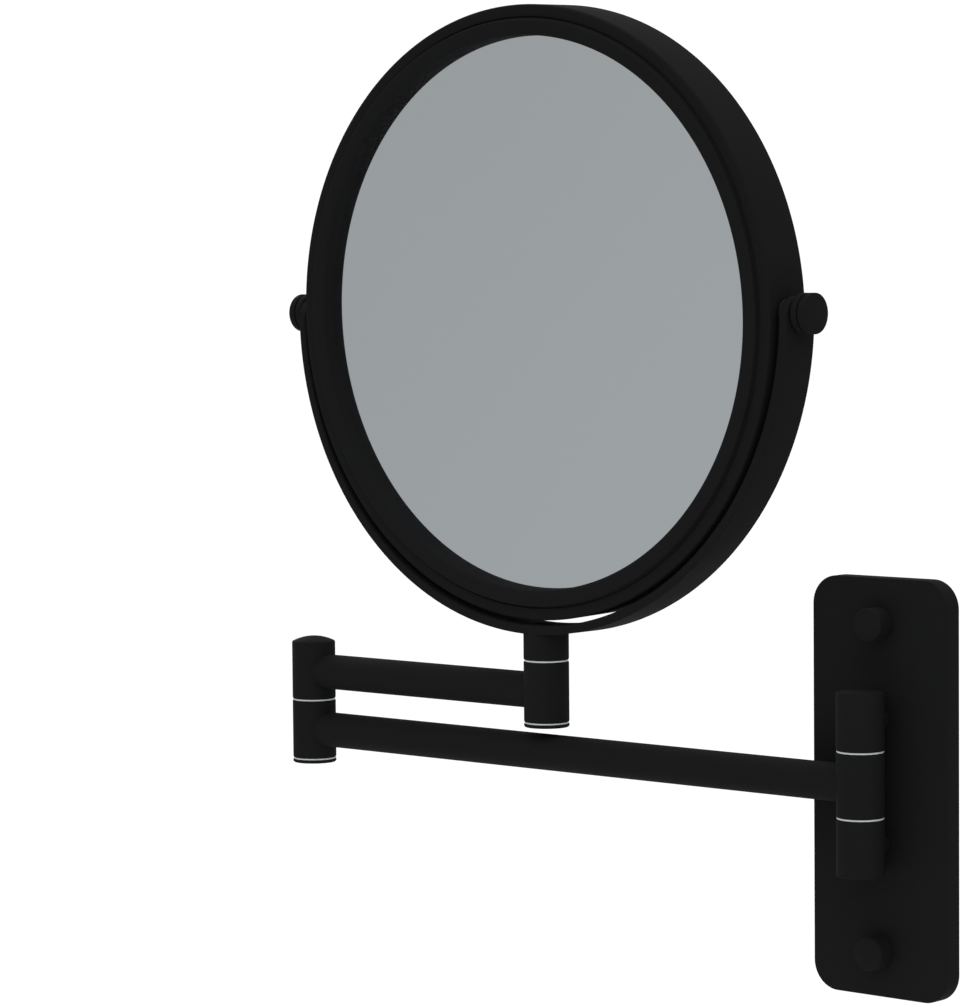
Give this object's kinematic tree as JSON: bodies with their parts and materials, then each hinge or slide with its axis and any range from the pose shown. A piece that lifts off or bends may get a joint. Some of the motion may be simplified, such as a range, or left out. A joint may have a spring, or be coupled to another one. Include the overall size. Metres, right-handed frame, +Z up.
{
  "type": "magnifying makeup mirror",
  "caption": "Wall-mounted two-sided round makeup mirror, plain and magnifying, that tilts in a yoke on a folding double swing arm from an upright wall plate.",
  "frame": {"origin": "centre of the wall plate's back face, which lies on the wall", "axes": "+Z up, +Y into the wall, so the room is towards -Y; +X to the right as one faces the wall. The arms are folded to the left, parallel to the wall"},
  "size_m": [0.2832, 0.0313, 0.3306],
  "materials": {
    "black_metal": "matt black powder coat on brass",
    "mirror_glass": "silvered and polished",
    "washer_nylon": "natural nylon",
    "bare_steel": "plain turned steel",
    "spacer_plastic": "black moulded"
  },
  "bodies": {
    "wall_bracket": {"wall_plate": "black_metal", "upper_post": "black_metal", "lower_post": "black_metal", "post_screws": "bare_steel", "upper_cap_nut": "black_metal", "lower_cap_nut": "black_metal", "upper_knuckle": "black_metal", "lower_knuckle": "black_metal", "bracket_pin": "bare_steel", "bracket_upper_washer": "washer_nylon", "bracket_lower_washer": "washer_nylon"},
    "long_arm": {"bracket_hub": "black_metal", "bracket_bush": "washer_nylon", "long_arm_tube": "black_metal", "elbow_lower_hub": "black_metal", "elbow_bush": "washer_nylon", "elbow_washer": "washer_nylon", "elbow_bottom_washer": "washer_nylon"},
    "short_arm": {"elbow_upper_hub": "black_metal", "elbow_bolt": "black_metal", "short_arm_tube": "black_metal", "mirror_hub": "black_metal", "swivel_bush": "washer_nylon"},
    "yoke": {"swivel_washer": "washer_nylon", "swivel_bottom_washer": "washer_nylon", "swivel_bolt": "black_metal", "stem_hub": "black_metal", "stem_screw": "bare_steel", "yoke_arch": "black_metal"},
    "mirror": {"mirror_ring": "black_metal", "front_bezel": "black_metal", "back_bezel": "black_metal", "plain_glass": "mirror_glass", "magnifying_glass": "mirror_glass", "spacer_ring": "spacer_plastic", "left_pivot_washer": "spacer_plastic", "right_pivot_washer": "spacer_plastic"},
    "left_thumb_screw": {"left_knob": "black_metal"},
    "right_thumb_screw": {"right_knob": "black_metal"}
  },
  "joints": [
    {"name": "bracket_swing", "type": "hinge", "parent": "wall_bracket", "child": "long_arm", "pos_m": [0, -0.017, 0.0023], "axis": [0, 0, 1], "range_deg": [0, 180]},
    {"name": "elbow_swing", "type": "hinge", "parent": "long_arm", "child": "short_arm", "pos_m": [-0.2483, -0.017, 0.0135], "axis": [0, 0, 1], "continuous": true},
    {"name": "yoke_swivel", "type": "hinge", "parent": "short_arm", "child": "yoke", "pos_m": [-0.1348, -0.017, 0.03425], "axis": [0, 0, 1], "continuous": true},
    {"name": "mirror_tilt", "type": "hinge", "parent": "yoke", "child": "mirror", "pos_m": [-0.1348, -0.017, 0.1553], "axis": [1, 0, 0], "continuous": true},
    {"name": "left_knob_turn", "type": "hinge", "parent": "mirror", "child": "left_thumb_screw", "pos_m": [-0.2478, -0.017, 0.1553], "axis": [-1, 0, 0], "range_deg": [0, 180]},
    {"name": "right_knob_turn", "type": "hinge", "parent": "mirror", "child": "right_thumb_screw", "pos_m": [-0.0218, -0.017, 0.1553], "axis": [1, 0, 0], "range_deg": [0, 180]}
  ]
}
